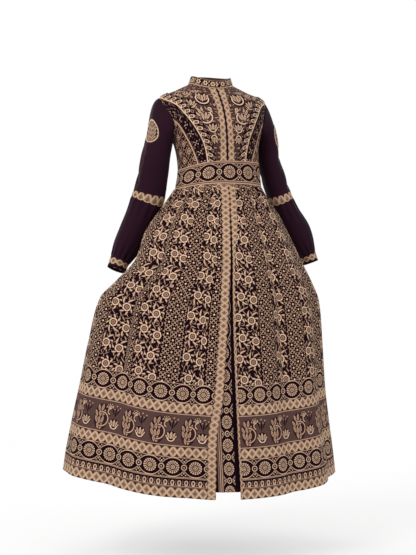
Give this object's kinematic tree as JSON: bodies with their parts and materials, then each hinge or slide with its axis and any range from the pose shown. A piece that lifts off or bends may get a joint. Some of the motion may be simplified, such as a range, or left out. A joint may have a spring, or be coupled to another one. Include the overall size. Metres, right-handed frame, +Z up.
{
  "type": "kaftan",
  "caption": "Long kaftan in its worn form, with stand collar, fitted panelled bodice, waistband, gathered open-front skirt and bishop sleeves.",
  "frame": {"origin": "between the shoulders, at the height of the shoulder seams' neck ends", "axes": "+Z up, -Y to the front of the wearer, +X to the right as seen from the front"},
  "size_m": [0.904, 0.656, 1.3459],
  "materials": {
    "brocade": "matt jacquard weave",
    "dark_ground": "matt jacquard weave, dark",
    "beige_braid": "woven braid with a soft sheen",
    "dark_piping": "dark matt piping",
    "plum_crepe": "matt crepe, dark plum"
  },
  "bodies": {
    "root": {"bodice_back": "brocade", "bodice_back_side_left": "brocade", "bodice_back_side_right": "brocade", "bodice_front_centre_left": "brocade", "bodice_front_centre_right": "brocade", "bodice_front_mid_left": "dark_ground", "bodice_front_mid_right": "dark_ground", "bodice_front_side_left": "brocade", "bodice_front_side_right": "brocade", "collar": "beige_braid", "cuff_braid_left": "beige_braid", "cuff_braid_right": "beige_braid", "elbow_braid_left": "beige_braid", "elbow_braid_right": "beige_braid", "front_piping_left": "dark_piping", "front_piping_right": "dark_piping", "placket_braid_left": "beige_braid", "placket_braid_right": "beige_braid", "shoulder_trim_left": "beige_braid", "shoulder_trim_right": "beige_braid", "skirt_back_left": "brocade", "skirt_back_right": "brocade", "skirt_braid_left": "beige_braid", "skirt_braid_right": "beige_braid", "skirt_front_left": "brocade", "skirt_front_right": "brocade", "skirt_underlay": "dark_ground", "sleeve_lower_left": "plum_crepe", "sleeve_lower_right": "plum_crepe", "sleeve_patch_left": "beige_braid", "sleeve_patch_right": "beige_braid", "sleeve_upper_left": "plum_crepe", "sleeve_upper_right": "plum_crepe", "waistband": "brocade"}
  },
  "joints": []
}
